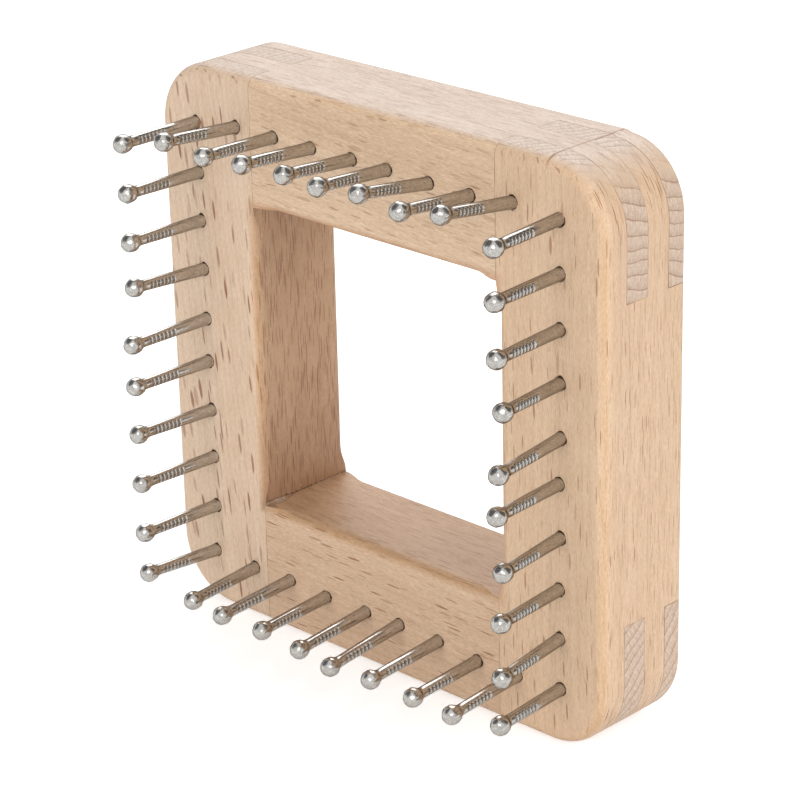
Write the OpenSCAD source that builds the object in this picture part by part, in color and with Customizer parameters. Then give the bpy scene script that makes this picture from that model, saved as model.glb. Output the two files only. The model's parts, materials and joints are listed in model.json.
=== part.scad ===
// Knitting board: a square beech frame with a row of round-headed steel pins along each side.
// The frame's four members are glued with finger joints, and the pins are nails set in drilled holes.
// X runs to the right, Y from the front face to the back, Z up. The frame stands on its bottom edge,
// the pins point to -Y, and the origin is the middle of the bottom edge.

/* [Frame] */
// Width of the frame over both stiles
frame_w = 114; // [96:0.5:160]
// Height of the frame over both rails
frame_h = 114; // [96:0.5:160]
// Thickness of the frame from front to back
frame_t = 22.8; // [19:0.2:32]
// Width of each stile, seen from the front
stile_w = 25.6; // [20:0.2:32]
// Height of each rail, seen from the front
rail_h = 25.8; // [20:0.2:32]
// Radius of the outer corners, seen from the front
corner_r = 13.3; // [8:0.1:18]
// Radius of the rounded edges, front and back
edge_r = 2.4; // [1:0.1:4]
// Radius of the router's guide bearing, which stops the inner rounding short of the corners
bearing_r = 6; // [3:0.5:9]

/* [Pin places] */
// Distance from a row of pins to the outer edge that it runs along
row_inset = 10.7; // [8:0.1:13]
// Distance from a stile's end pins to the top or the bottom of the frame
end_inset = 11.7; // [9:0.1:14]
// Gap between the two middle pins of each side
middle_gap = 9; // [6:0.1:12]

/* [Pins] */
// Distance from the front face to the middle of a pin's head
head_out = 18; // [14:0.5:26]
// Diameter of the round head
head_d = 3.8; // [3.2:0.1:5]
// Thickness of the shank where it enters the wood
shank_d = 2.5; // [1.8:0.05:2.9]
// Thickness of the neck under the head
neck_d = 2.2; // [1.6:0.05:2.6]
// Length of the point at the hidden end
point_len = 3; // [1:0.2:5]
// Depth to which a pin is set in the wood
set_depth = 14; // [8:0.5:16]

/* [Gripper marks] */
// Distance from the middle of the head to the first mark
mark_start = 3.7; // [3:0.1:5]
// Distance from one mark to the next along the shank
mark_gap = 0.92; // [0.7:0.02:1.2]
// Depth of a mark
mark_depth = 0.24; // [0.1:0.02:0.3]
// Number of marks on each flank
mark_count = 7; // [3:1:8]

/* [Holes] */
// Clearance all round a pin in its hole
hole_gap = 0.05; // [0.02:0.01:0.2]
// Clearance all round a pin in the worn mouth of its hole
mouth_gap = 0.25; // [0.1:0.05:0.5]
// Depth of the worn mouth
mouth_depth = 0.6; // [0.2:0.1:2]
// Room left under the point of a pin
hole_room = 0.5; // [0.2:0.1:2]

/* [Hidden] */
$fn = 96;

// Every cut runs this far past the surface that it opens.
overrun = 1;

half_w = frame_w / 2;
half_h = frame_h / 2;
half_t = frame_t / 2;
opening_w = frame_w - 2 * stile_w;
opening_h = frame_h - 2 * rail_h;

// Four equal layers from the front to the back. The stiles run through the corners in the first and
// the third, the rails in the second and the fourth.
layer_count = 4;
layer_t = frame_t / layer_count;
stile_layers = [0, 2];
rail_layers = [1, 3];

// Each side has its middle pins and three or four more at even steps on either side of them.
half_count = 5;
step_x = (half_w - end_inset - middle_gap / 2) / (half_count - 1);
step_z = (half_h - end_inset - middle_gap / 2) / (half_count - 1);
stile_pins = 2 * half_count;
rail_pins = stile_pins - 2;

head_r = head_d / 2;
shank_r = shank_d / 2;
neck_r = neck_d / 2;
// The underside of the head is a short cone: where it leaves the ball, and where it meets the neck.
cone_top_angle = 52;
neck_top_share = 1.45;
neck_top = head_out - head_r * neck_top_share;

SIDES = ["left", "right", "top", "bottom"];

// How the pins were driven by hand, one entry a pin, from the top down or from left to right. Leans are
// whole degrees away from square, outward from the opening and then along the side, up or to the right.
LEAN_OUT = [
    [3, 2, 2, 1, 6, 6, 6, 6, 6, 2],
    [3, 3, 4, 8, 4, 4, 7, 6, 6, 4],
    [4, 2, 4, 5, 4, 8, 5, 7],
    [2, 5, 2, 5, 9, 5, 2, 4]
];
LEAN_ALONG = [
    [-1, 0, 0, 3, -3, -2, -1, -2, -2, 3],
    [-1, 0, 0, 2, -3, 0, 0, 1, -2, 0],
    [-1, 1, 1, 2, 1, 0, 0, -1],
    [3, -3, 1, -1, -4, -2, 1, 0]
];
// Angle, seen from the front, at which the marked flanks face, from the right and turning up.
MARK_TURN = [
    [55, 60, 40, 30, 40, 40, 70, 35, 35, 20],
    [30, 25, 40, 30, 20, 20, 65, 15, 20, 55],
    [100, 50, 35, 80, 20, 30, 20, 10],
    [25, 30, 60, 15, 85, 30, 15, 20]
];
// How far each hole was drilled off its mark, as shares of half the middle gap: outward, then along.
drift_out_shares = [
    [0.04, -0.02, -0.02, -0.04, -0.06, -0.08, -0.1, -0.12, -0.14, 0],
    [0.04, 0.06, 0.06, 0.06, 0.1, 0, 0.06, 0, 0.02, 0.06],
    [0.04, 0.04, 0.04, 0.04, 0.02, -0.06, -0.08, 0.12],
    [-0.1, -0.18, -0.08, -0.14, -0.18, -0.16, 0.02, -0.08]
];
drift_along_shares = [
    [0, 0.02, 0.1, 0.14, 0.1, 0.1, 0.06, 0.06, -0.04, -0.02],
    [0.2, 0.22, 0.18, 0.18, 0.12, 0.12, 0.04, 0, 0.06, 0.04],
    [-0.06, -0.04, -0.04, 0.06, 0.06, 0.12, 0.1, 0.08],
    [0.02, 0.02, 0, 0.16, 0.16, 0.2, 0.18, 0.16]
];

function side_count(side) = side < 2 ? stile_pins : rail_pins;

// Distance of a side's pin number i from the middle of that side, at even steps past the middle gap.
function along(i, count, step) =
    let (k = i - (count - 1) / 2)
    sign(k) * (middle_gap / 2 + (abs(k) - 1 / 2) * step);

function out_drift(side, i) = drift_out_shares[side][i] * middle_gap / 2;
function along_drift(side, i) = drift_along_shares[side][i] * middle_gap / 2;

// Where a pin enters the front face.
function pin_place(side, i) =
    side < 2
    ? [(side == 0 ? -1 : 1) * (half_w - row_inset + out_drift(side, i)), -half_t,
       half_h - along(i, stile_pins, step_z) + along_drift(side, i)]
    : [along(i, rail_pins, step_x) + along_drift(side, i), -half_t,
       half_h + (side == 3 ? -1 : 1) * (half_h - row_inset + out_drift(side, i))];

// Turns that lay a pin drawn along +Z into its lean out of the front face.
function pin_turn(side, i) =
    side < 2
    ? [90 - LEAN_ALONG[side][i], 0, (side == 0 ? -1 : 1) * LEAN_OUT[side][i]]
    : [90 - (side == 3 ? -1 : 1) * LEAN_OUT[side][i], 0, LEAN_ALONG[side][i]];

function pin_name(side, i) = str("pin_", SIDES[side], "_", i + 1 < 10 ? "0" : "", i + 1);

// Puts its children, drawn along +Z with their zero on the front face, at a pin's place and lean.
module at_pin(side, i) {
    translate(pin_place(side, i))
        rotate(pin_turn(side, i))
            children();
}

// Section of what a router takes off a square edge: the edge is the origin, the wood lies in +X and +Y.
module edge_section() {
    difference() {
        translate([-overrun, -overrun])
            square(edge_r + overrun);
        translate([edge_r, edge_r])
            circle(r = edge_r);
    }
}

// Rounding of the front and the back of one straight edge that runs up from the origin, with the wood
// to its right.
module edge_cuts(length) {
    for (back = [0, 1])
        mirror([0, back, 0])
            translate([0, -half_t, 0])
                linear_extrude(length)
                    edge_section();
}

// Section of what is taken off round an outer corner, from the middle of its radius outward.
module corner_section() {
    translate([corner_r, -half_t - overrun])
        square([corner_r * (sqrt(2) - 1) + overrun, frame_t + 2 * overrun]);
    for (back = [0, 1])
        mirror([0, back])
            translate([corner_r, -half_t])
                mirror([1, 0])
                    edge_section();
}

// Takes the square corner that points to +X and +Z down to its radius, with both edges rounded. The
// origin is the middle of the radius.
module corner_cut() {
    rotate([90, 0, 0])
        rotate_extrude(angle = 90)
            corner_section();
}

// Where the router stops in an inner corner: its whole cutter, on the front and on the back. The origin
// is the middle of the guide bearing.
module bearing_cuts() {
    for (back = [0, 1])
        mirror([0, back, 0])
            translate([0, -half_t, 0])
                rotate([-90, 0, 0])
                    rotate_extrude()
                        difference() {
                            translate([0, -overrun])
                                square([bearing_r + edge_r, edge_r + overrun]);
                            translate([bearing_r + edge_r, edge_r])
                                circle(r = edge_r);
                        }
}

// All the rounding of the frame, about its middle.
module frame_rounding() {
    for (right = [0, 1])
        mirror([right, 0, 0]) {
            translate([-half_w, 0, corner_r - half_h])
                edge_cuts(frame_h - 2 * corner_r);
            translate([-opening_w / 2, 0, bearing_r - opening_h / 2])
                mirror([1, 0, 0])
                    edge_cuts(opening_h - 2 * bearing_r);
        }
    for (top = [0, 1])
        mirror([0, 0, top]) {
            translate([corner_r - half_w, 0, -half_h])
                mirror([1, 0, -1])
                    edge_cuts(frame_w - 2 * corner_r);
            translate([bearing_r - opening_w / 2, 0, -opening_h / 2])
                mirror([0, 0, 1])
                    mirror([1, 0, -1])
                        edge_cuts(opening_w - 2 * bearing_r);
        }
    for (left = [0, 1], bottom = [0, 1])
        mirror([left, 0, 0])
            mirror([0, 0, bottom]) {
                translate([half_w - corner_r, 0, half_h - corner_r])
                    corner_cut();
                translate([opening_w / 2 - bearing_r, 0, opening_h / 2 - bearing_r])
                    bearing_cuts();
            }
}

// The drilled hole of a pin, with a mouth that the pin has worn wider.
module pin_hole() {
    translate([0, 0, -set_depth - hole_room])
        cylinder(r = shank_r + hole_gap, h = set_depth + hole_room + overrun);
    translate([0, 0, -mouth_depth])
        cylinder(r = shank_r + mouth_gap, h = mouth_depth + overrun);
}

// What is cut from every member once the frame is glued: the rounding and the pins' holes.
module frame_cuts() {
    translate([0, 0, half_h])
        frame_rounding();
    for (side = [0:len(SIDES) - 1])
        for (i = [0:side_count(side) - 1])
            at_pin(side, i)
                pin_hole();
}

// A slot for the other member's finger in one layer of a corner. It starts at the origin, and it runs
// out of the front or the back where the layer does.
module finger_slot(layer, width, height) {
    is_outer = layer == 0 || layer == layer_count - 1;
    translate([0, layer * layer_t - half_t - (layer == 0 ? overrun : 0), 0])
        cube([width, layer_t + (is_outer ? overrun : 0), height]);
}

// The left stile before the frame is rounded and drilled.
module stile_block() {
    difference() {
        translate([-half_w, -half_t, 0])
            cube([stile_w, frame_t, frame_h]);
        for (layer = rail_layers, z = [-overrun, frame_h - rail_h])
            translate([-half_w - overrun, 0, z])
                finger_slot(layer, stile_w + 2 * overrun, rail_h + overrun);
    }
}

// The bottom rail before the frame is rounded and drilled.
module rail_block() {
    difference() {
        translate([-half_w, -half_t, 0])
            cube([frame_w, frame_t, rail_h]);
        for (layer = stile_layers, x = [-half_w - overrun, half_w - stile_w])
            translate([x, 0, -overrun])
                finger_slot(layer, stile_w + overrun, rail_h + 2 * overrun);
    }
}

module left_stile() {
    color("BurlyWood")
        difference() {
            stile_block();
            frame_cuts();
        }
}

module right_stile() {
    color("BurlyWood")
        difference() {
            mirror([1, 0, 0])
                stile_block();
            frame_cuts();
        }
}

module top_rail() {
    color("Tan")
        difference() {
            translate([0, 0, frame_h])
                mirror([0, 0, 1])
                    rail_block();
            frame_cuts();
        }
}

module bottom_rail() {
    color("Tan")
        difference() {
            rail_block();
            frame_cuts();
        }
}

// Radius of the tapered shank at a height over the front face.
function shank_at(z) = shank_r + (neck_r - shank_r) * z / neck_top;

// Half section of a pin: point, shank, neck, the cone under the head, and the ball of the head.
module pin_section() {
    polygon([
        [0, -set_depth],
        [shank_r, point_len - set_depth],
        [shank_r, 0],
        [neck_r, neck_top],
        [head_r * sin(cone_top_angle), head_out - head_r * cos(cone_top_angle)],
        [0, head_out]
    ]);
    intersection() {
        translate([0, head_out])
            circle(r = head_r);
        translate([0, head_out - head_r])
            square([head_r, head_d]);
    }
}

// The row of notches that the heading machine's grippers leave on one flank, the one that faces +X.
module flank_marks() {
    bar = 2 * mark_depth;
    for (k = [0:mark_count - 1]) {
        z = head_out - mark_start - k * mark_gap;
        translate([shank_at(z) - mark_depth + bar * sqrt(2) / 2, 0, z])
            rotate([0, 45, 0])
                cube([bar, shank_d + overrun, bar], center = true);
    }
}

// A pin, drawn along +Z with its zero where it enters the wood.
module pin(side, i) {
    color("Silver")
        at_pin(side, i)
            rotate([0, 0, MARK_TURN[side][i]])
                difference() {
                    rotate_extrude()
                        pin_section();
                    for (turn = [0, 180])
                        rotate([0, 0, turn])
                            flank_marks();
                }
}

left_stile();
right_stile();
top_rail();
bottom_rail();
for (side = [0:len(SIDES) - 1])
    for (i = [0:side_count(side) - 1])
        pin(side, i);
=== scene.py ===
"""Looks of a small wooden knitting board: a finger-jointed beech frame with four rows of steel pins."""

from __future__ import annotations

import json
import logging
import math
import random
from collections.abc import Callable
from dataclasses import dataclass, field
from enum import Enum
from functools import partial

import bmesh
import bpy
from bpy.types import Node, NodeSocket, NodeTree
from mathutils import Matrix, Vector, noise

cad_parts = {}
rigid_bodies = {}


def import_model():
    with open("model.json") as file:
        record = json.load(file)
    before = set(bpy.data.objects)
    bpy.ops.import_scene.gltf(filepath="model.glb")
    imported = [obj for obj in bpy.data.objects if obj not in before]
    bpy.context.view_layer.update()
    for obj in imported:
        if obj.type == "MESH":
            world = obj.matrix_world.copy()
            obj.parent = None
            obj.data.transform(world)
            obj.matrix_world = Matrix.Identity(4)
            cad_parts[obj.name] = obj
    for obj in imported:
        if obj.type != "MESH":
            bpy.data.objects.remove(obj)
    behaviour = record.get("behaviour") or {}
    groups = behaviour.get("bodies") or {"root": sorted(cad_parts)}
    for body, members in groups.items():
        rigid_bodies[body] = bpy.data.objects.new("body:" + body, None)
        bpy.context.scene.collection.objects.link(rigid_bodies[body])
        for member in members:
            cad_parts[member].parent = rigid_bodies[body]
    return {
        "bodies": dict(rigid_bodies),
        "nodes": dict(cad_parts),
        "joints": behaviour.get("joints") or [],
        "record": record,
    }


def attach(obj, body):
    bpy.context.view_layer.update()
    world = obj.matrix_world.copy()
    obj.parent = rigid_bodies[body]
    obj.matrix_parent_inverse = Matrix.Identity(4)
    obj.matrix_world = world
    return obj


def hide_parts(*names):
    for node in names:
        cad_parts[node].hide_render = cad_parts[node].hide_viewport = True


LOG = logging.getLogger("knitting_board")
MM = 0.001
MIDDLE = 57.0  # mm up to the frame's middle
NEAR_TOP = 95.0  # mm up to where only the frame's top edge is left
# a growth ring from its start to its end, with how dark it is there
RING = ((0.0, 0.0), (0.5, 0.1), (0.86, 0.35), (0.94, 1.0), (1.0, 0.1))
Adder = Callable[..., Node]  # add_node with its tree given, which adds a node to one material


class Slot(Enum):
    """The record's material slots."""

    BEECH = "beech"
    STEEL = "steel"


class Fibres(Enum):
    """Which way the fibres of a member run, as the turn in degrees that brings them upright."""

    UPRIGHT = 0.0
    LEVEL = -90.0


def linear(colour: str) -> tuple[float, float, float, float]:
    """Turns an sRGB hex colour to linear light.

    Args:
        colour: six hex digits after a hash.

    Returns:
        Red, green, blue and full alpha.
    """
    parts = [int(colour[i : i + 2], 16) / 255 for i in (1, 3, 5)]
    r, g, b = (c / 12.92 if c <= 0.04045 else ((c + 0.055) / 1.055) ** 2.4 for c in parts)
    return r, g, b, 1.0


def set_inputs(node: Node, inputs: dict | list) -> None:
    """Gives a node's inputs their values and links.

    Args:
        node: the node.
        inputs: by name or in order, each a value, another node's output, or a node, which
            stands for its first output.
    """
    pairs = inputs.items() if isinstance(inputs, dict) else enumerate(inputs)
    for key, value in pairs:
        source = value.outputs[0] if isinstance(value, Node) else value
        if isinstance(source, NodeSocket):
            node.id_data.links.new(source, node.inputs[key])
        else:
            node.inputs[key].default_value = source


def add_node(
    tree: NodeTree, kind: str, inputs: dict | list | None = None, operation: str = "", **settings: object
) -> Node:
    """Adds one shader node with its settings and links.

    Args:
        tree: the node tree that gets it.
        kind: the node's type, without the word ShaderNode.
        inputs: what set_inputs takes.
        operation: what a node that calculates does.
        settings: the node's other attributes.

    Returns:
        The new node.
    """
    node = tree.nodes.new(f"ShaderNode{kind}")
    if operation:
        node.operation = operation
    for name, value in settings.items():
        setattr(node, name, value)
    set_inputs(node, inputs or [])
    return node


def new_material(name: str) -> tuple[bpy.types.Material, Adder, Node]:
    """Starts a material.

    Args:
        name: its name.

    Returns:
        The material, what adds a node to it, and its shader.
    """
    material = bpy.data.materials.new(name)
    material.use_nodes = True
    tree = material.node_tree
    return material, partial(add_node, tree), tree.nodes["Principled BSDF"]


def seen_rays(add: Adder) -> Node:
    """Tells the rays that end in the camera, straight or by a mirroring surface, from the rest.

    Args:
        add: adds a node to the tree.

    Returns:
        The node that gives 1 on such a ray.
    """
    path = add("LightPath")
    seen = add("Math", [path.outputs["Is Camera Ray"], path.outputs["Is Glossy Ray"]], "MAXIMUM")
    return add("Math", [seen, path.outputs["Is Transmission Ray"]], "MAXIMUM")


def finished(name: str, shape: bmesh.types.BMesh, *materials: bpy.types.Material) -> bpy.types.Object:
    """Turns a shape into an object at the origin.

    Args:
        name: the piece's name.
        shape: the shape, which is freed.
        materials: its finishes, in the order of its faces' numbers.

    Returns:
        The new object.
    """
    mesh = bpy.data.meshes.new(name)
    shape.to_mesh(mesh)
    shape.free()
    for material in materials:
        mesh.materials.append(material)
    piece = bpy.data.objects.new(name, mesh)
    bpy.context.scene.collection.objects.link(piece)
    return piece


@dataclass(frozen=True)
class SandedBeech:
    """Solid beech, planed and sanded without varnish: pale pinkish tan and matt, with short brown
    ray flecks along the fibres, faint growth rings, and greyer end grain with ring lines."""

    name: str
    fibres: Fibres
    tilt: float = 0.0  # degrees that the rings lean about the fibres
    slope: float = 0.0  # degrees that the fibres run off the member's length
    pith: tuple[float, float, float] = (120.0, 0.0, 0.0)  # mm from the frame's origin
    ring: float = 3.0  # mm from one growth ring to the next
    wander: float = 0.26  # how far a ring's line strays, in rings
    ray: tuple[float, float, float] = (2.1, 0.44, 9.0)  # mm between rays: across the rings, along them, up
    fleck_depth: float = 0.8  # how dark a fleck gets
    fleck_size: float = 0.22  # a fleck's half size as a share of the way to the next
    stroke: tuple[float, float, float] = (0.9, 0.3, 7.0)  # the same as ray, for the small strokes
    stroke_size: float = 0.21
    stroke_depth: float = 0.35  # how dark the small strokes between the flecks get
    line: tuple[float, float, float] = (7.0, 0.33, 6.8)  # the same, for the fine lines on the sides
    line_size: tuple[float, float] = (0.3, 0.33)  # outside, and round the opening
    side_depth: float = 1.0  # how dark the fine lines on the sides get
    fibre_length: float = 0.9  # mm
    fibre_depth: float = 0.17  # how much the single fibres differ in tone
    streak_depth: float = 0.05  # how much the long streaks do
    band_depth: float = 0.05  # how much the broad bands of tone do
    ring_depth: float = 0.4  # how far a ring's line turns to late wood
    edge_tint: float = 0.6  # how far the rounded edges take their tone
    edge_tint_top: float = 0.15  # the share of that along the top
    end_from: tuple[float, float] = (0.62, 0.86)  # how square the end grain starts, and is full
    base: str = "#DBBB9B"
    late_wood: str = "#C9A27D"
    fleck_tone: str = "#96623E"
    end_tone: str = "#D6BFAB"
    end_ring: str = "#A8846C"
    burnish_and_highlight: str = "#D5AA7C"
    # what the base becomes on the faces round the opening: painted shade, where the frame keeps light off
    # them
    opening_shade: str = "#CDA381"
    top: str = "#DBC4B1"  # what the base becomes on top: a painted sheen, the pale haze that the overhead light leaves on it
    roughness: float = 0.5
    kink: bool = False  # the top right corner's rounding starts with a ridge
    kink_tone: str = "#9A6A44"  # the scorched line along that ridge
    low_corner_tone: str = ""  # what the base becomes low on the opening's side, darker towards its lower corner, if it does

    def build(self) -> bpy.types.Material:
        """Makes the material.

        Returns:
            The material with its nodes.
        """
        material, add, shader = new_material(self.name)
        at = add("TexCoord")
        turn = (0.0, math.radians(self.fibres.value + self.slope), math.radians(self.tilt))
        # millimetres, with X across the rings, Y along them and Z along the fibres
        wood = add(
            "Mapping",
            {
                "Vector": at.outputs["Object"],
                "Location": self.pith,
                "Rotation": turn,
                "Scale": (1 / MM,) * 3,
            },
        )
        bent = self._waved(add, wood)
        ring = self._rings(add, bent)
        # how far the surface is cut across the fibres
        normal = add("Mapping", {"Vector": at.outputs["Normal"], "Rotation": turn}, vector_type="NORMAL")
        across = add("SeparateXYZ", [add("VectorMath", [normal], "ABSOLUTE")])
        end = add(
            "MapRange",
            {"Value": across.outputs["Z"], "From Min": self.end_from[0], "From Max": self.end_from[1]},
        )
        long_grain = add("Math", [1.0, end], "SUBTRACT")
        inner = self._opening_side(add, at)
        # fibres an eighth of a millimetre wide
        fibre = self._grain(add, bent, (8.0, 8.0, 1 / self.fibre_length), 2.5)
        # streaks 1 mm wide and 14 mm long, and bands of tone 7 mm wide and 80 mm long
        streak = self._grain(add, bent, (1.0, 1.0, 1 / 14), 2.0)
        band = self._grain(add, bent, (1 / 7, 1 / 7, 1 / 80), 2.0)
        marks = self._marks(add, at, bent, inner)
        marks = add("Math", [marks, long_grain], "MULTIPLY")
        # colours, one over another
        tone = add("MapRange", {"Value": ring, "To Max": self.ring_depth})
        colour = add("MixRGB", {"Fac": tone, "Color1": linear(self.base), "Color2": linear(self.late_wood)})
        # painted shade on the faces round the opening, which the frame keeps from the light
        colour = self._tinted(add, colour, inner, self.opening_shade)
        if self.low_corner_tone:
            colour = self._tinted(add, colour, self._near_low_corner(add, at, inner), self.low_corner_tone)
        # the top faces up, in the frame's last 19 mm, and gets a paler tone there: a painted sheen from the
        # overhead light
        facing = add("SeparateXYZ", [at.outputs["Normal"]])
        above = add("MapRange", {"Value": facing.outputs["Z"], "From Min": 0.59, "From Max": 0.97})
        place = add("SeparateXYZ", [at.outputs["Object"]])
        high = add(
            "MapRange",
            {"Value": place.outputs["Z"], "From Min": NEAR_TOP * MM, "From Max": (NEAR_TOP + 5) * MM},
        )
        above = add("Math", [above, high], "MULTIPLY")
        colour = self._tinted(add, colour, above, self.top)
        tones = ((fibre, self.fibre_depth), (streak, self.streak_depth), (band, self.band_depth))
        for part, depth in tones:
            colour = self._shaded(add, colour, part, 1 - depth, 1 + depth)
        colour = self._tinted(add, colour, marks, self.fleck_tone)
        colour = add("MixRGB", {"Fac": end, "Color1": colour, "Color2": self._end_grain(add, wood, ring)})
        # the rounded edges: warmed by the cutter, and on the top rail lightened as a painted highlight
        colour = self._tinted(add, colour, self._rounded(add, at), self.burnish_and_highlight)
        if self.kink:
            colour = self._kinked(add, at, colour)
        # the fibres differ a little in gloss
        gloss = add(
            "MapRange", {"Value": fibre, "To Min": self.roughness - 0.06, "To Max": self.roughness + 0.08}
        )
        # fibres stand up to 0.04 mm proud, and flecks lie as deep
        height = add("Math", [fibre, marks], "SUBTRACT")
        bump = add("Bump", {"Height": height, "Strength": 0.6, "Distance": 0.04 * MM})
        set_inputs(shader, {"Base Color": colour, "Roughness": gloss, "Normal": bump})
        return material

    @staticmethod
    def _near_low_corner(add: Adder, at: Node, inner: Node) -> Node:
        """Finds the lower part of the opening's side, where the wood gets darker towards its lower corner.

        Args:
            add: adds a node to the material.
            at: the texture coordinate node.
            inner: a node that gives 1 on the faces round the opening.

        Returns:
            The node that gives 1 where the darker tone is full.
        """
        place = add("SeparateXYZ", [at.outputs["Object"]])
        # its upper border wanders by 9 mm every 8 mm
        border = add("TexNoise", {"Vector": at.outputs["Object"], "Scale": 0.12 / MM, "Detail": 3.0})
        height = add("Math", [border, -18 * MM, place.outputs["Z"]], "MULTIPLY_ADD")
        low = add("MapRange", {"Value": height, "From Min": 44 * MM, "From Max": 17 * MM})
        return add("Math", [low, inner], "MULTIPLY")

    def _marks(self, add: Adder, at: Node, bent: Node, inner: Node) -> Node:
        """Draws the flecks and strokes where rays are cut: short and broad on the front and the
        back, fine and long on the sides, where they follow a rounded corner.

        Args:
            add: adds a node to the material.
            at: the texture coordinate node.
            bent: the node that gives the place in the wood.
            inner: a node that gives 1 on the faces round the opening.

        Returns:
            The node that gives how strong the mark is.
        """
        fleck = self._flecks(add, bent, self.ray, self.fleck_size, seed=3.0)
        fleck = add("Math", [fleck, self.fleck_depth], "MULTIPLY")
        stroke = self._flecks(add, bent, self.stroke, self.stroke_size, seed=8.0)
        stroke = add("Math", [stroke, self.stroke_depth], "MULTIPLY")
        front = add("Math", [fleck, stroke], "MAXIMUM")
        # seen from the side the rays lie level, 0.33 mm apart, 0.2 mm thick and up to 4.5 mm long
        turn = (0.0, math.radians(self.fibres.value), 0.0)
        level = add("Mapping", {"Vector": at.outputs["Object"], "Rotation": turn, "Scale": (1 / MM,) * 3})
        size = add("MapRange", {"Value": inner, "To Min": self.line_size[0], "To Max": self.line_size[1]})
        side = self._flecks(add, level, self.line, size, seed=5.0)
        side = add("Math", [side, self.side_depth], "MULTIPLY")
        facing = add("SeparateXYZ", [at.outputs["Normal"]])
        # a face that turns 0.8 to the front or the back shows flecks, and one under 0.5 lines
        ahead = add("Math", [facing.outputs["Y"]], "ABSOLUTE")
        ahead = add("MapRange", {"Value": ahead, "From Min": 0.5, "From Max": 0.8})
        aside = add("Math", [1.0, ahead], "SUBTRACT")
        side = add("Math", [side, aside], "MULTIPLY")
        return add("Math", [front, ahead, side], "MULTIPLY_ADD")

    @staticmethod
    def _waved(add: Adder, wood: Node) -> Node:
        """Bends the wood's fibres in slow waves, 16 mm wide and 110 mm long.

        Args:
            add: adds a node to the material.
            wood: the node that gives the place in the wood, in millimetres.

        Returns:
            The node that gives the place in the bent wood.
        """
        slow = add("VectorMath", [wood, (1 / 16, 1 / 16, 1 / 110)], "MULTIPLY")
        waves = add("TexNoise", {"Vector": slow, "Scale": 1.0, "Detail": 2.0})
        centred = add("VectorMath", [waves.outputs["Color"], (0.5,) * 3], "SUBTRACT")
        return add("VectorMath", [centred, (5.0, 5.0, 0.0), wood], "MULTIPLY_ADD")

    def _rings(self, add: Adder, bent: Node) -> Node:
        """Lays growth rings round the pith, each fading in slowly and ending on a thin dark line.

        Args:
            add: adds a node to the material.
            bent: the node that gives the place in the wood.

        Returns:
            The node that gives 1 on a ring's line.
        """
        flat = add("VectorMath", [bent, (1 / self.ring, 1 / self.ring, 0.0)], "MULTIPLY")
        radius = add("VectorMath", [flat], "LENGTH")
        # ring widths differ: the line wanders by an eighth of a ring every 2.5 mm
        jitter = add("TexNoise", {"Vector": bent, "Scale": 0.4, "Detail": 3.0})
        moved = add("Math", [jitter, self.wander, radius.outputs["Value"]], "MULTIPLY_ADD")
        phase = add("Math", [moved], "FRACT")
        ring = add("ValToRGB", {"Fac": phase})
        self._stops(ring, RING)
        return ring

    def _end_grain(self, add: Adder, wood: Node, ring: Node) -> Node:
        """Colours the wood that is cut across: ring lines with a mesh of fine rays over them.

        Args:
            add: adds a node to the material.
            wood: the node that gives the place in the wood, in millimetres.
            ring: the node that gives the rings.

        Returns:
            The node that gives the colour.
        """
        colour = add(
            "MixRGB", {"Fac": ring, "Color1": linear(self.end_tone), "Color2": linear(self.end_ring)}
        )
        # rays 0.3 mm thick and 1.4 mm long across the rings, and pores 0.3 mm wide
        rays = self._grain(add, wood, (0.7, 3.6, 0.2), 2.0)
        pores = self._grain(add, wood, (3.0, 3.0, 0.3), 3.0)
        colour = self._shaded(add, colour, rays, 0.77, 1.13)
        return self._shaded(add, colour, pores, 0.84, 1.14)

    def _rounded(self, add: Adder, at: Node) -> Node:
        """Finds the rounded edges, least along the top: there the cutter warmed the wood, and on the top
        rail the lighter tone is a painted highlight.

        Args:
            add: adds a node to the material.
            at: the texture coordinate node.

        Returns:
            The node that gives how strongly an edge takes its tone.
        """
        facing = add("SeparateXYZ", [at.outputs["Normal"]])
        side = add("Math", [facing.outputs["Y"]], "ABSOLUTE")
        # an edge's tone is strongest where it turns 0.72 to the front or back, and ends 0.26 off that
        off = add("Math", [side, 0.72], "SUBTRACT")
        off = add("Math", [off], "ABSOLUTE")
        edge = add("MapRange", {"Value": off, "From Min": 0.26, "From Max": 0.05, "To Max": self.edge_tint})
        place = add("SeparateXYZ", [at.outputs["Object"]])
        # the tone is whole up to 98 mm and falls to the top's share at 108 mm
        low = add(
            "MapRange",
            {
                "Value": place.outputs["Z"],
                "From Min": 108 * MM,
                "From Max": 98 * MM,
                "To Min": self.edge_tint_top,
            },
        )
        # it comes and goes every 8 mm
        patches = add("TexNoise", {"Vector": at.outputs["Object"], "Scale": 0.12 / MM, "Detail": 2.0})
        uneven = add("MapRange", {"Value": patches, "From Min": 0.3, "From Max": 0.6, "To Min": 0.4})
        part = add("Math", [edge, low], "MULTIPLY")
        return add("Math", [part, uneven], "MULTIPLY")

    @staticmethod
    def _grain(add: Adder, wood: Node, step: tuple[float, float, float], detail: float) -> Node:
        """Makes noise that is stretched with the wood.

        Args:
            add: adds a node to the material.
            wood: the node that gives the place in the wood, in millimetres.
            step: how many features lie in a millimetre, each way.
            detail: how many finer layers it has.

        Returns:
            The noise node.
        """
        place = add("VectorMath", [wood, step], "MULTIPLY")
        return add("TexNoise", {"Vector": place, "Scale": 1.0, "Detail": detail, "Roughness": 0.6})

    @staticmethod
    def _shaded(add: Adder, colour: Node, pattern: Node, least: float, most: float) -> Node:
        """Darkens and lightens a colour by a noise.

        Args:
            add: adds a node to the material.
            colour: the node that gives the colour.
            pattern: the noise node.
            least: the factor where the noise is low.
            most: the factor where it is high.

        Returns:
            The node that gives the new colour.
        """
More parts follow.
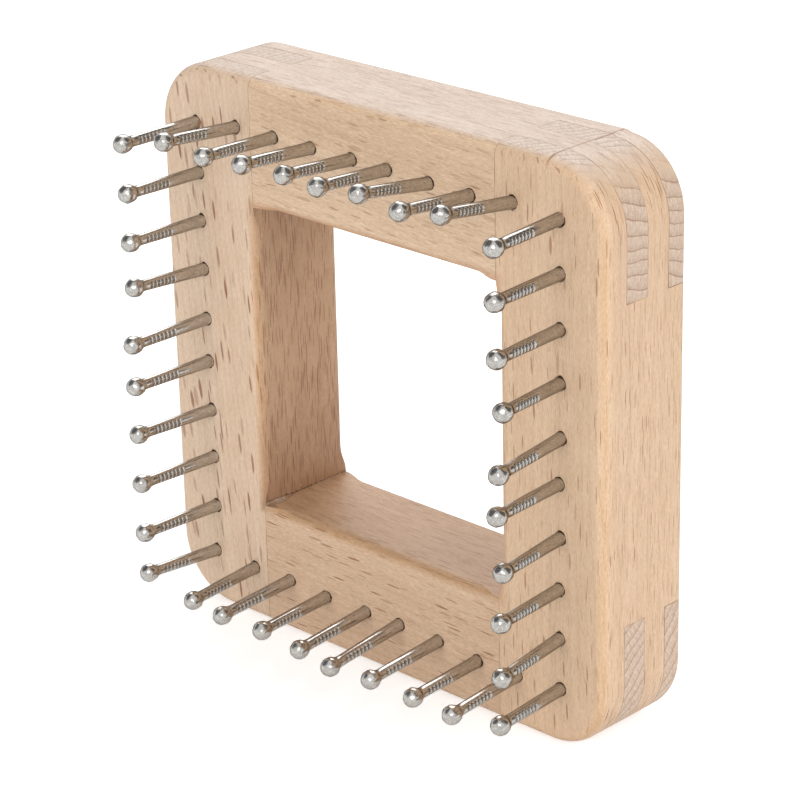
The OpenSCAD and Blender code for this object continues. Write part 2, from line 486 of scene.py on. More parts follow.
        # noise seldom leaves the range from 0.3 to 0.7
        level = add("MapRange", {"Value": pattern, "From Min": 0.3, "From Max": 0.7})
        # wood gets redder as it gets darker
        dark, light = ((v**0.75, v, v**1.3, 1.0) for v in (least, most))
        tone = add("MixRGB", {"Fac": level, "Color1": dark, "Color2": light})
        return add("MixRGB", {"Fac": 1.0, "Color1": colour, "Color2": tone}, blend_type="MULTIPLY")

    def _tinted(self, add: Adder, colour: Node, share: Node, tone: str) -> Node:
        """Turns a colour by as much as the base would turn to become a tone.

        Args:
            add: adds a node to the material.
            colour: the node that gives the colour.
            share: how far it turns, from 0 to 1.
            tone: what the base colour would become, in hex.

        Returns:
            The node that gives the new colour.
        """
        glaze = add("MixRGB", {"Fac": share, "Color1": (1.0,) * 4, "Color2": self._ratio(tone, self.base)})
        return add("MixRGB", {"Fac": 1.0, "Color1": colour, "Color2": glaze}, blend_type="MULTIPLY")

    @staticmethod
    def _ratio(colour: str, base: str) -> tuple[float, float, float, float]:
        """Says what turns one colour into another when they are multiplied.

        Args:
            colour: the hex colour to reach.
            base: the hex colour to start from.

        Returns:
            The factor for each channel.
        """
        return tuple(c / b for c, b in zip(linear(colour), linear(base)))

    @staticmethod
    def _stops(ramp: Node, stops: tuple[tuple[float, float], ...]) -> None:
        """Sets a colour ramp's grey stops.

        Args:
            ramp: the ramp node.
            stops: each stop's place and brightness.
        """
        elements = ramp.color_ramp.elements
        while len(elements) > 1:
            elements.remove(elements[-1])
        for n, (place, value) in enumerate(stops):
            element = elements[0] if n == 0 else elements.new(place)
            element.position = place
            element.color = (value, value, value, 1.0)

    @staticmethod
    def _opening_side(add: Adder, at: Node) -> Node:
        """Finds the faces round the opening, where the frame keeps light off the wood.

        Args:
            add: adds a node to the material.
            at: the texture coordinate node.

        Returns:
            The node that gives 1 on those faces and 0 past the rounded edge.
        """
        middle = add("VectorMath", [at.outputs["Object"], (0.0, 0.0, -MIDDLE * MM)], "ADD")
        away = add("VectorMath", [middle], "ABSOLUTE")
        axes = add("SeparateXYZ", [away])
        far = add("Math", [axes.outputs["X"], axes.outputs["Z"]], "MAXIMUM")
        # the faces lie within 31.6 mm of the middle, and the rounded edge ends at 33.2 mm
        return add("MapRange", {"Value": far, "From Min": 33.2 * MM, "From Max": 31.6 * MM})

    def _kinked(self, add: Adder, at: Node, colour: Node) -> Node:
        """Draws the thin scorched line where the sander turned into the top right corner.

        Args:
            add: adds a node to the material.
            at: the texture coordinate node.
            colour: the node that gives the wood's colour.

        Returns:
            The node that gives the colour with the line.
        """
        own = add("SeparateXYZ", [at.outputs["Object"]])
        # the line wanders by half a millimetre every 3 mm
        wander = add("TexNoise", {"Vector": at.outputs["Object"], "Scale": 0.33 / MM, "Detail": 3.0})
        start = add("MapRange", {"Value": wander, "To Min": 43.2 * MM, "To Max": 44.2 * MM})
        past = add("Math", [own.outputs["X"], start], "SUBTRACT")
        # it is 0.4 mm wide, and lies on the upper part of the rounding
        high = add("MapRange", {"Value": own.outputs["Z"], "From Min": 111.3 * MM, "From Max": 113.0 * MM})
        near = add("Math", [past], "ABSOLUTE")
        line = add("MapRange", {"Value": near, "From Min": 0.28 * MM, "From Max": 0.1 * MM})
        line = add("Math", [line, high], "MULTIPLY")
        uneven = add(
            "MapRange", {"Value": wander, "From Min": 0.35, "From Max": 0.6, "To Min": 0.5, "To Max": 0.95}
        )
        line = add("Math", [line, uneven], "MULTIPLY")
        return add("MixRGB", {"Fac": line, "Color1": colour, "Color2": linear(self.kink_tone)})

    @staticmethod
    def _flecks(
        add: Adder, wood: Node, cell: tuple[float, float, float], size: float | Node, seed: float
    ) -> Node:
        """Cuts through the wood's rays, which stand like thin ribbons across the rings.

        Args:
            add: adds a node to the material.
            wood: the node that gives the place in the wood, in millimetres.
            cell: millimetres from ray to ray, across the rings, along them and along the fibres.
            size: a ray's half size as a share of its cell.
            seed: moves the pattern, so that two sets differ.

        Returns:
            The node that gives up to 1 on a ray and 0 between rays.
        """
        cells = add("VectorMath", [wood, tuple(1 / c for c in cell), (seed, seed, seed)], "MULTIPLY_ADD")
        spots = add("TexVoronoi", {"Vector": cells, "Scale": 1.0})
        share = add("Math", [spots.outputs["Distance"], size], "DIVIDE")
        # a ray is whole within 0.75 of its size and gone at 1.1, and each has a strength of its own
        edge = add("MapRange", {"Value": share, "From Min": 1.1, "From Max": 0.75})
        chance = add("SeparateXYZ", [spots.outputs["Color"]])
        faint = add("MapRange", {"Value": chance.outputs["X"], "To Min": 0.25, "To Max": 1.0})
        return add("Math", [edge, faint], "MULTIPLY")


@dataclass(frozen=True)
class PolishedSteel:
    """Nickel-bright polished steel wire: mirror-like, a little dulled by handling, with faint
    drawing lines and dust that break the highlights."""

    name: str = "polished_steel"
    colour: str = "#C3C0BB"
    roughness: float = 0.15
    rim: float = 0.4  # how bright the metal is when it is seen along its surface
    grime_and_shade: float = 0.55  # how light the metal stays at the bottom of a mark, under dirt and painted shade

    def build(self) -> bpy.types.Material:
        """Makes the material.

        Returns:
            The material with its nodes.
        """
        material, add, shader = new_material(self.name)
        set_inputs(shader, {"Metallic": 1.0, "Specular Tint": (self.rim,) * 3 + (1.0,)})
        at = add("TexCoord").outputs["Object"]
        # handling marks 0.6 mm across, and specks of dust and tumbling 0.15 mm across
        smears = add("TexNoise", {"Vector": at, "Scale": 1.6 / MM, "Detail": 3.0})
        specks = add("TexNoise", {"Vector": at, "Scale": 6.5 / MM, "Detail": 2.0})
        # drawing lines 0.12 mm apart and 2 mm long, along the pin
        stretch = add("VectorMath", [at, (8 / MM, 0.5 / MM, 8 / MM)], "MULTIPLY")
        lines = add("TexNoise", {"Vector": stretch, "Scale": 1.0, "Detail": 2.0})
        gloss = add(
            "MapRange",
            {
                "Value": smears,
                "From Min": 0.35,
                "From Max": 0.7,
                "To Min": self.roughness * 0.7,
                "To Max": self.roughness * 1.7,
            },
        )
        colour = linear(self.colour)[:3]
        for pattern, least, most in ((smears, 1.06, 0.84), (specks, 0.78, 1.2), (lines, 0.85, 1.13)):
            level = add(
                "MapRange",
                {"Value": pattern, "From Min": 0.32, "From Max": 0.7, "To Min": least, "To Max": most},
            )
            colour = add("VectorMath", {0: colour, "Scale": level}, "SCALE")
        # dirt and painted shade in the pressed marks
        pressed = add("Attribute", attribute_name="pressed")
        shade = add(
            "MapRange",
            {"Value": pressed.outputs["Fac"], "From Min": 0.5, "To Min": 1.0, "To Max": self.grime_and_shade},
        )
        colour = add("VectorMath", {0: colour, "Scale": shade}, "SCALE")
        relief = add("Math", [specks, lines], "ADD")
        bump = add("Bump", {"Height": relief, "Strength": 0.25, "Distance": 0.02 * MM})
        set_inputs(shader, {"Base Color": colour, "Roughness": gloss, "Normal": bump})
        return material


@dataclass(frozen=True)
class DriedGlue:
    """Dried wood glue in a joint: yellowish grey and half matt, dark where it fills a gap and
    dusty where it was smeared."""

    name: str
    film: str = "#B08A68"
    gap: str = "#6A4328"
    roughness: float = 0.45

    def build(self) -> bpy.types.Material:
        """Makes the material.

        Returns:
            The material with its nodes.
        """
        material, add, shader = new_material(self.name)
        at = add("TexCoord").outputs["Object"]
        # the gap fills and opens every 5 mm, and dust lies in 0.4 mm patches
        fill = add("TexNoise", {"Vector": at, "Scale": 0.2 / MM, "Detail": 4.0, "Roughness": 0.7})
        dust = add("TexNoise", {"Vector": at, "Scale": 2.5 / MM, "Detail": 3.0})
        open_part = add("MapRange", {"Value": fill, "From Min": 0.42, "From Max": 0.56})
        colour = add("MixRGB", {"Fac": open_part, "Color1": linear(self.film), "Color2": linear(self.gap)})
        level = add(
            "MapRange", {"Value": dust, "From Min": 0.3, "From Max": 0.7, "To Min": 0.8, "To Max": 1.2}
        )
        colour = add("VectorMath", {0: colour, "Scale": level}, "SCALE")
        bump = add("Bump", {"Height": dust, "Strength": 0.5, "Distance": 0.05 * MM})
        set_inputs(shader, {"Base Color": colour, "Roughness": self.roughness, "Normal": bump})
        return material


@dataclass(frozen=True)
class GlueLine:
    """The hairline of glue where two members meet: hard to see where the joint is tight, brown
    where it is a little open, mostly in the outer layers."""

    name: str
    tight: str = "#C9A98B"
    open: str = "#8A6244"
    roughness: float = 0.5

    def build(self) -> bpy.types.Material:
        """Makes the material.

        Returns:
            The material with its nodes.
        """
        material, add, shader = new_material(self.name)
        at = add("TexCoord").outputs["Object"]
        place = add("SeparateXYZ", [at])
        layer = add("Math", [place.outputs["Y"]], "ABSOLUTE")
        outer = add("MapRange", {"Value": layer, "From Min": 2 * MM, "From Max": 5 * MM})
        # it opens and closes every 7 mm, with grains of 0.5 mm
        gaps = add("TexNoise", {"Vector": at, "Scale": 0.14 / MM, "Detail": 4.0, "Roughness": 0.6})
        share = add(
            "MapRange", {"Value": gaps, "From Min": 0.44, "From Max": 0.6, "To Min": 0.05, "To Max": 0.55}
        )
        share = add("Math", [share, outer], "MULTIPLY")
        # the joint at the back closed least
        behind = add(
            "MapRange",
            {"Value": place.outputs["Y"], "From Min": 4 * MM, "From Max": 5 * MM, "To Max": 0.45},
        )
        share = add("Math", [share, behind], "ADD", use_clamp=True)
        colour = add("MixRGB", {"Fac": share, "Color1": linear(self.tight), "Color2": linear(self.open)})
        set_inputs(shader, {"Base Color": colour, "Roughness": self.roughness})
        return material


@dataclass(frozen=True)
class PaleFloor:
    """Matt white paper sweep: no grain, only the object's soft shadow."""

    name: str = "white_paper_sweep"
    colour: str = "#EDEDED"
    roughness: float = 0.9
    specular: float = 0.1
    lift: float = 0.55  # glow that brings its seen surface to full white
    mirrored: float = 0.38  # the same where the metal mirrors it

    def build(self) -> bpy.types.Material:
        """Makes the material.

        Returns:
            The material with its nodes.
        """
        material, add, shader = new_material(self.name)
        camera = add("LightPath").outputs["Is Camera Ray"]
        glow = add("MapRange", {"Value": camera, "To Min": self.mirrored, "To Max": self.lift})
        lift = add("Math", [seen_rays(add), glow], "MULTIPLY")
        look = {
            "Base Color": linear(self.colour),
            "Roughness": self.roughness,
            "Specular IOR Level": self.specular,
        }
        set_inputs(shader, {**look, "Emission Color": (1.0,) * 4, "Emission Strength": lift})
        return material


@dataclass
class PinAxis:
    """Where a packed pin stands in the wood."""

    node: str
    point: Vector  # its tip, in metres
    way: Vector  # the unit vector from the tip to the head
    flank: Vector  # the unit vector to one of its marked sides

    @classmethod
    def of(cls, pin: bpy.types.Object, shape: PinShape) -> PinAxis:
        """Finds a packed pin's line from its mesh.

        Args:
            pin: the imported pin.
            shape: the pin's sizes.

        Returns:
            Where it stands.
        """
        spots = [v.co.copy() for v in pin.data.vertices]
        point = max(spots, key=lambda p: p.y)
        crown = max(spots, key=lambda p: (p - point).length)
        way = (crown - point).normalized()
        # hardly longer than nothing, so that it only sets the sign of the first mark's side
        flank = Vector((1e-9, 0.0, 0.0))
        for spot in spots:
            out = spot - point
            along = out.dot(way) / MM - shape.set_depth
            aside = out - way * out.dot(way)
            # a vertex 0.05 mm inside the neck's radius is in a mark
            if shape.last_mark < along < shape.first_mark and aside.length < (shape.neck - 0.05) * MM:
                flank += aside if aside.dot(flank) > 0 else -aside
        return cls(pin.name, point, way, (flank - way * flank.dot(way)).normalized())

    def place(self, set_depth: float) -> Matrix:
        """Turns a pin's own millimetres to the frame's metres.

        Args:
            set_depth: how deep the pin is driven, in mm.

        Returns:
            The matrix for a pin that stands along Z from the wood's face, marked at its X sides.
        """
        third = self.way.cross(self.flank)
        turn = Matrix((self.flank, third, self.way)).transposed().to_4x4()
        face = self.point + self.way * set_depth * MM
        return Matrix.Translation(face) @ turn @ Matrix.Scale(MM, 4)

    def reach(self, spot: Vector) -> float:
        """Measures how far a place in the frame is from the pin's line, in metres."""
        out = spot - self.point
        return (out - self.way * out.dot(self.way)).length


@dataclass
class Member:
    """One wooden member of the frame, its arrises eased where it meets its neighbours."""

    node: str
    finish: SandedBeech
    flat: float = 0.3  # degrees up to which neighbouring faces become one
    seam: float = 0.07  # mm, half the width of the fine groove that shows at a joint
    sharp: float = 55.0  # degrees past which an edge is an arris
    smooth: float = 30.0  # degrees up to which an edge is shaded smooth
    bore: float = 2.3  # mm round a pin's line where nothing is eased
    mouth: float = 0.7  # mm down, just past the end of a hole's wider mouth
    rim: tuple[float, float] = (1.4, 1.8)  # mm from a pin's line: between them lies the mouth's rim
    shank: float = 1.25  # mm, a pin's radius in the wood
    snug: float = 0.02  # mm of gap round a pin where the wood is whole
    torn: float = 0.42  # mm of gap more where the drill tore it
    kink: tuple[float, float, float] = (43.75, 0.35, 9.0)  # mm: where it starts, its drop and its reach

    def build(self, frame: dict, axes: list[PinAxis], set_depth: float) -> bpy.types.Object:
        """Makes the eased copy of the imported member.

        Args:
            axes: where the pins stand.
            set_depth: how deep the pins are driven, in mm.

        Returns:
            The finished piece.
        """
        shape = bmesh.new()
        shape.from_mesh(frame["nodes"][self.node].data)
        spots = [v.co.copy() for v in shape.verts]
        low, high = (Vector(pick(p[k] for p in spots) for k in range(3)) for pick in (min, max))
        bmesh.ops.remove_doubles(shape, verts=shape.verts, dist=0.0005 * MM)
        bmesh.ops.recalc_face_normals(shape, faces=shape.faces)
        bmesh.ops.dissolve_limit(
            shape,
            angle_limit=math.radians(self.flat),
            use_dissolve_boundaries=False,
            verts=shape.verts,
            edges=shape.edges,
        )
        arrises = [
            e
            for e in shape.edges
            if e.is_manifold
            and e.calc_face_angle(0.0) > math.radians(self.sharp)
            and all(min(a.reach(v.co) for a in axes) > self.bore * MM for v in e.verts)
        ]
        eased = bmesh.ops.bevel(
            shape,
            geom=arrises,
            offset=self.seam * MM,
            offset_type="OFFSET",
            segments=1,
            profile=0.5,
            affect="EDGES",
            clamp_overlap=False,
            material=-1,
        )
        for face in eased["faces"]:
            face.material_index = 1
        self._crush(shape, axes, set_depth)
        self._drop(shape)
        for vert in shape.verts:
            vert.co = [min(max(c, a), b) for c, a, b in zip(vert.co, low, high)]
        for face in shape.faces:
            face.smooth = True
        for edge in shape.edges:
            edge.smooth = not edge.is_manifold or edge.calc_face_angle(0.0) < math.radians(self.smooth)
        glue = GlueLine(f"glue_line_{self.node}")
        piece = finished(f"{self.node}_eased", shape, self.finish.build(), glue.build())
        weighted = piece.modifiers.new("flat_faces", "WEIGHTED_NORMAL")
        weighted.keep_sharp = True
        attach(piece, "root")
        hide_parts(self.node)
        return piece

    def _crush(self, shape: bmesh.types.BMesh, axes: list[PinAxis], set_depth: float) -> None:
        """Closes each hole's mouth round its pin with crushed fibres, which leaves a ragged dark
        gap, widest where the drill tore the wood along its fibres.

        Args:
            shape: the member.
            axes: where the pins stand.
            set_depth: how deep the pins are driven, in mm.
        """
        upright = self.finish.fibres is Fibres.UPRIGHT
        for axis in axes:
            for vert in shape.verts:
                out = vert.co - axis.point
                along = out.dot(axis.way)
                out -= axis.way * along
                down = set_depth - along / MM
                if not self.rim[0] * MM < out.length < self.rim[1] * MM or down > self.mouth:
                    continue
                turn = out.normalized()
                # the tear lies along the fibres, open parts are 1.1 mm apart and chips 0.2 mm
                tear = abs(turn.z if upright else turn.x) ** 6
                place = Vector((vert.co.x, 0.0, vert.co.z)) / MM
                open_part = max(0.0, 0.5 + 1.1 * noise.noise(place * 0.9))
                chip = 0.5 + 0.5 * noise.noise(place * 5.0)
                gap = self.snug + self.torn * chip * (0.6 * open_part + 0.7 * tear)
                left = (self.shank + gap) * MM - out.length
                vert.co += Vector((turn.x, 0.0, turn.z)) * left

    def _drop(self, shape: bmesh.types.BMesh) -> None:
        """Lowers the start of the top right corner's rounding, as the sander left it.

        Args:
            shape: the member.
        """
        start, drop, reach = self.kink
        for vert in shape.verts:
            past = vert.co.x / MM - start
            if past > 0 and vert.co.z > NEAR_TOP * MM:
                vert.co.z -= drop * max(0.0, 1 - past / reach) * MM


@dataclass(frozen=True)
class PinShape:
    """The sizes of one steel pin, in millimetres, counted from the wood's face."""

    set_depth: float = 14.0  # how deep it is driven
    point: float = 3.0  # length of its point
    shank: float = 1.25  # radius at the face
    neck: float = 1.1  # radius under the head
    neck_top: float = 15.3  # where the head's collar starts
    head: float = 1.9  # radius
    head_at: float = 18.0  # middle of the head
    first_mark: float = 14.76  # where the gripper marks end, towards the head
    last_mark: float = 8.32  # where they end, towards the wood
    mark_gap: float = 0.92  # from one mark to the next
    mark_depth: float = 0.17
    hollow: float = 0.7  # below 1 the marks are wide and the ridges between them narrow
    flank: tuple[float, float] = (0.55, 0.3)  # how far aside a mark starts, and over what it gets full
    dented_from: float = 16.4  # where the head starts and its dents with it
    dent: float = 0.1  # how deep the hammer's dents are
    dents: float = 1.15  # how many lie in a millimetre
    rows: int = 8  # rows of the mesh in one mark
    sides: int = 36
    crown: int = 12  # steps of the outline over the head

    def outline(self) -> list[tuple[float, float]]:
        """Lists the profile's radius and height, from the point to the crown.

        Returns:
            The points.
        """
        points = [(0.0, -self.set_depth), (self.shank, self.point - self.set_depth), (self.shank, 0.0)]
        count = round((self.first_mark - self.last_mark) / self.mark_gap * self.rows)
        heights = [
            self.last_mark + (self.first_mark - self.last_mark) * k / count for k in range(count + 1)
        ]
        # a ring of points beside each end of the marks keeps the shank straight past them
        guards = (self.last_mark - 0.12, *heights, self.first_mark + 0.12)
        points += [(self.radius(z), z) for z in (2.0, 4.0, 6.0, *guards, self.neck_top)]
        # a collar swells into the head's widest part
        points += [(self.neck + 0.02, 15.9), (self.neck + 0.12, 16.25), (1.42, 16.55), (1.65, 16.85)]
        points += [(1.8, 17.2), (1.875, 17.6)]
        for step in range(self.crown + 1):
            turn = math.radians(90 * step / self.crown)
            points.append((self.head * math.cos(turn), self.head_at + self.head * math.sin(turn)))
        points[-1] = (0.0, self.head_at + self.head)
        return points

    def radius(self, height: float) -> float:
        """Gives the tapered shank's radius at a height."""
        return self.shank + (self.neck - self.shank) * height / self.neck_top


@dataclass
class PinRows:
    """The four rows of pins."""

    shape: PinShape = field(default_factory=PinShape)
    finish: PolishedSteel = field(default_factory=PolishedSteel)

    def axes(self, frame: dict) -> list[PinAxis]:
        """Finds where every packed pin stands.


        Returns:
            The places, in the order of the nodes' names.
        """
        pins = (o for n, o in sorted(frame["nodes"].items()) if n.startswith("pin_"))
        return [PinAxis.of(o, self.shape) for o in pins]

    def build(self, axes: list[PinAxis]) -> list[bpy.types.Object]:
        """Spins every pin.

        Args:
            axes: where the pins stand.

        Returns:
            The finished pins.
        """
        steel = self.finish.build()
        return [self._pin(axis, n, steel) for n, axis in enumerate(axes)]

    def _pin(self, axis: PinAxis, number: int, steel: bpy.types.Material) -> bpy.types.Object:
        """Spins one pin, presses its marks and dents its head.

        Args:
            axis: where it stands.
            number: its number, for dents of its own.
            steel: its finish.

        Returns:
            The finished pin.
        """
        sizes = self.shape
        shape = bmesh.new()
        verts = [shape.verts.new((r, 0.0, z)) for r, z in sizes.outline()]
        edges = [shape.edges.new(pair) for pair in zip(verts, verts[1:])]
        bmesh.ops.spin(
            shape,
            geom=verts + edges,
            cent=(0.0, 0.0, 0.0),
            axis=(0.0, 0.0, 1.0),
            angle=math.tau,
            steps=sizes.sides,
            use_merge=True,
        )
        bmesh.ops.remove_doubles(shape, verts=shape.verts, dist=0.0005)
        pressed_in = shape.verts.layers.float.new("pressed")
        for vert in shape.verts:
            aside = math.hypot(vert.co.x, vert.co.y)
            if sizes.last_mark < vert.co.z < sizes.first_mark and aside > 0:
                phase = (vert.co.z - sizes.last_mark) / sizes.mark_gap
                pressed = abs(math.sin(math.pi * phase)) ** sizes.hollow
                flank = min(1.0, max(0.0, (abs(vert.co.x) / aside - sizes.flank[0]) / sizes.flank[1]))
                narrower = 1 - sizes.mark_depth * pressed * flank / aside
                vert.co *= Vector((narrower, narrower, 1.0))
                vert[pressed_in] = pressed * flank
            elif vert.co.z > sizes.dented_from:
                middle = Vector((0.0, 0.0, sizes.head_at))
                out = vert.co - middle
                # each pin's dents come from a place of its own in the noise
                own = Vector((7.3 * number, 0.0, 0.0))
                dent = 0.5 + 0.9 * noise.noise(out * sizes.dents + own)
                vert.co = middle + out * (1 - sizes.dent * max(0.0, dent) / sizes.head)
        bmesh.ops.recalc_face_normals(shape, faces=shape.faces)
        bmesh.ops.transform(shape, matrix=axis.place(sizes.set_depth), verts=shape.verts)
        for face in shape.faces:
            face.smooth = True
        piece = finished(axis.node.replace("pin_", "steel_pin_"), shape, steel)
        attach(piece, "root")
        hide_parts(axis.node)
        return piece


@dataclass
class GlueSmear:
    """The glue that was squeezed out along the inner bottom left corner, with a crack beside it."""

    corner: tuple[float, float] = (-31.4, 25.8)  # mm: where the two faces meet, across and up
    depth: float = 11.2  # mm that it runs to the front and to the back of the middle
    widest: float = 2.6  # mm over the level face
    front: float = 0.36  # the share of its length that is wide
    climb: float = 0.35  # the share of its width on the upright face
    crumbs: int = 18
    crumb: tuple[float, float] = (0.06, 0.17)  # mm, the least and the greatest radius
    rows: int = 90  # faces along it

    def build(self) -> list[bpy.types.Object]:
        """Makes the smear, the crack and the crumbs.

        Returns:
            The three pieces.
        """
        film = DriedGlue("dried_glue_smear", film="#BCA692", gap="#A58468")
        smear = self._strip("glue_smear", 12, film, self._bead)
        shadow = DriedGlue("crack_shadow", film="#8A5F40", gap="#553420")
        crack = self._strip("open_crack", 4, shadow, self._gap)
        return [smear, crack, self._crumbs()]

    def _crumbs(self) -> bpy.types.Object:
        """Scatters small crumbs of wood and glue along the corner, most of them in front.

        Returns:
            The finished piece.
        """
        shape = bmesh.new()
        chance = random.Random(5)
        for _ in range(self.crumbs):
            # the powers crowd them in front and into the corner
            along = chance.random() ** 1.8
            size = chance.uniform(*self.crumb)
            spread = self.widest * (1.1 - along) * chance.random() ** 2
            out, up = (spread, 0.0) if chance.random() < 0.6 else (0.0, spread)
            spot = Vector(
                (self.corner[0] + out + 0.1, (2 * along - 1) * self.depth * 0.9, self.corner[1] + up + 0.1)
            )
            place = Matrix.Translation(spot * MM)
            flat = Matrix.Diagonal((1.0, 2.2, 0.7, 1.0))
            turn = Matrix.Rotation(chance.uniform(0, math.tau), 4, "X") @ flat
            bmesh.ops.create_icosphere(shape, subdivisions=1, radius=size * MM, matrix=place @ turn)
        finish = DriedGlue("crumbs_of_wood", film="#DCC0A2", gap="#B98F68")
        piece = finished("joint_crumbs", shape, finish.build())
        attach(piece, "root")
        return piece

    def _bead(self, along: float, across: float) -> Vector:
        """Places a point of the smear, which is wide in front and thin behind.

        Args:
            along: from 0 in front to 1 behind.
            across: from 0 on the upright face to 1 on the level face.

        Returns:
            The point in millimetres, out from the corner and up from it.
        """
        # its lumps lie 0.9 mm apart, and its thin part swells every 0.6 mm
        rough = noise.noise(Vector((along * 26, across * 2.5, 1.7)))
        front = max(0.0, 1 - along / self.front)
        thin = 0.1 + 0.25 * (noise.noise(Vector((along * 40, 4.0, 0.0))) + 0.6) * 0.4
        width = thin + self.widest * front**0.7 * (0.75 + 0.5 * rough)
        out = max(0.0, across - self.climb) / (1 - self.climb) * width
        up = max(0.0, self.climb - across) / self.climb * width * 0.3
        swell = 0.02 + (0.1 + 0.12 * rough) * math.sin(math.pi * across) * (0.4 + front)
        return Vector((out + swell, up + swell))

    def _gap(self, along: float, across: float) -> Vector:
        """Places a point of the crack, which wanders up the upright face from the corner.

        Args:
            along: from 0 in front to 1 behind.
            across: from 0 at its upper edge to 1 at its lower edge.

        Returns:
            The point in millimetres, out from the corner and up from it.
        """
        # it wanders every 1.6 mm and, less, every 0.5 mm, and widens every 0.7 mm
        wander = noise.noise(Vector((along * 14, 0.0, 9.0)))
        wander += 0.6 * noise.noise(Vector((along * 45, 3.0, 1.0)))
        width = 0.06 + 0.22 * max(0.0, noise.noise(Vector((along * 33, 5.0, 2.0))) + 0.25)
        lift = 0.1 + 0.5 * max(0.0, 1 - along / self.front) + 0.2 * (wander + 0.4)
        return Vector((0.13 + 0.02 * across, lift + width * (1 - across)))

    def _strip(
        self, name: str, columns: int, finish: DriedGlue, place: Callable[[float, float], Vector]
    ) -> bpy.types.Object:
        """Bends a flat grid into the corner.

        Args:
            name: the piece's name.
            columns: how many faces lie across it.
            finish: its finish.
            place: gives a point's place from its share along and across.

        Returns:
            The finished piece.
        """
        shape = bmesh.new()
        bmesh.ops.create_grid(shape, x_segments=self.rows, y_segments=columns, size=0.5)
        for vert in shape.verts:
            along, across = vert.co.x + 0.5, vert.co.y + 0.5
            spot = place(along, across)
            vert.co = (
                (self.corner[0] + spot.x) * MM,
                (2 * along - 1) * self.depth * MM,
                (self.corner[1] + spot.y) * MM,
            )
        bmesh.ops.recalc_face_normals(shape, faces=shape.faces)
        for face in shape.faces:
            face.smooth = True
        piece = finished(name, shape, finish.build())
        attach(piece, "root")
        return piece


def heading(azimuth: float, elevation: float) -> Vector:
    """Turns two angles to a direction.

    Args:
        azimuth: degrees to the right of straight on.
        elevation: degrees above level.

    Returns:
        The unit vector from the board that way.
    """
    az, el = math.radians(azimuth), math.radians(elevation)
    return Vector((math.sin(az) * math.cos(el), -math.cos(az) * math.cos(el), math.sin(el)))


@dataclass(frozen=True)
class Lamp:
    """A distant soft lamp."""

    name: str
    azimuth: float  # degrees
    elevation: float  # degrees
    width: float  # degrees across, as seen from the board
    level: float  # how bright it lights a white surface that faces it
    in_gloss: bool = False  # whether surfaces mirror it


@dataclass(frozen=True)
class Card:
    """A black flag or a lit screen that shows only in the bright metal."""

    name: str
    azimuth: float  # degrees
    elevation: float  # degrees
    size: tuple[float, float]  # m across and up
    glow: tuple[float, float, float]  # linear light, near 0 for a black flag
    distance: float = 1.5  # m

    def build(self) -> None:
        """Makes the card, square to the board."""
        material, add, shader = new_material(self.name)
        nodes = material.node_tree.nodes
        nodes.remove(shader)
        glow = add("Emission", {"Color": (*self.glow, 1.0), "Strength": 1.0})
        clear = add("BsdfTransparent")
        # the edge fades out, as a card's does in a softly lit room
        at = add("UVMap", uv_map="card")
        centred = add("VectorMath", [at, (0.5, 0.5, 0.0)], "SUBTRACT")
        out = add("VectorMath", [centred], "LENGTH")
        shown = add("MapRange", {"Value": out.outputs["Value"], "From Min": 0.5, "From Max": 0.3})
        both = add("MixShader", [shown, clear, glow])
        set_inputs(nodes["Material Output"], {"Surface": both})
        shape = bmesh.new()
        shape.loops.layers.uv.new("card")
        bmesh.ops.create_grid(shape, x_segments=1, y_segments=1, size=0.5, calc_uvs=True)
        away = heading(self.azimuth, self.elevation)
        turn = away.to_track_quat("Z", "Y").to_matrix().to_4x4()
        place = Matrix.Translation(away * self.distance + Vector((0.0, 0.0, MIDDLE * MM)))
        scale = Matrix.Diagonal((*self.size, 1.0, 1.0))
        bmesh.ops.transform(shape, matrix=place @ turn @ scale, verts=shape.verts)
        card = finished(self.name, shape, material)
        for seen in ("camera", "diffuse", "transmission", "volume_scatter", "shadow"):
            setattr(card, f"visible_{seen}", False)


LAMPS = (
    Lamp("front", 2.0, 15.0, 40.0, 0.5),
    Lamp("right", 90.0, 30.0, 60.0, 0.64),
    Lamp("back_left", 224.0, 42.0, 45.0, 0.4, in_gloss=True),
)
CARDS = (
    Card("dark_left", -57.0, 44.0, (2.4, 2.4), (0.17, 0.17, 0.18)),
    Card("dark_right", 137.0, 38.0, (1.9, 2.6), (0.17, 0.16, 0.15)),
    Card("screen", 42.0, 30.0, (0.9, 0.9), (3.5, 3.5, 3.5), distance=1.3),
)


